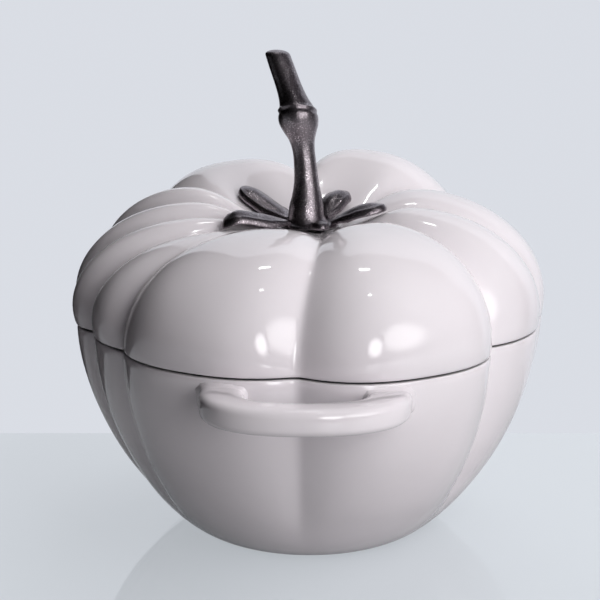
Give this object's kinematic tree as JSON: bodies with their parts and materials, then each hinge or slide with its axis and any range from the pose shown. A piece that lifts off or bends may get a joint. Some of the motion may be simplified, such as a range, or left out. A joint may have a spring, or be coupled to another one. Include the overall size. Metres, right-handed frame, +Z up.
{
  "type": "lidded cast iron pot",
  "caption": "Lobed enamelled cast iron pot with a lift-off domed lid, a bent stem knob on cupped leaves, and two slotted side grips.",
  "frame": {"origin": "middle of the flat base, on the surface the pot stands on", "axes": "+Z up through the stem; the grips reach out along +Y and -Y; the front lies at -Y"},
  "size_m": [0.254, 0.306, 0.2515],
  "materials": {
    "enamel": "glossy off-white enamel over cast iron",
    "dark_casting": "pebbled dark gunmetal casting",
    "seat": "matt black silicone",
    "steel": "stainless"
  },
  "bodies": {
    "pot": {"pot_body": "enamel"},
    "lid": {"lid": "enamel", "calyx": "dark_casting", "stem_knob": "dark_casting", "seat_washer": "seat", "flat_washer": "steel", "lock_washer": "steel", "knob_screw": "steel"}
  },
  "joints": [
    {"name": "lid_lift", "type": "slide", "parent": "pot", "child": "lid", "axis": [0, 0, 1], "range_m": [0, 0.15]}
  ]
}
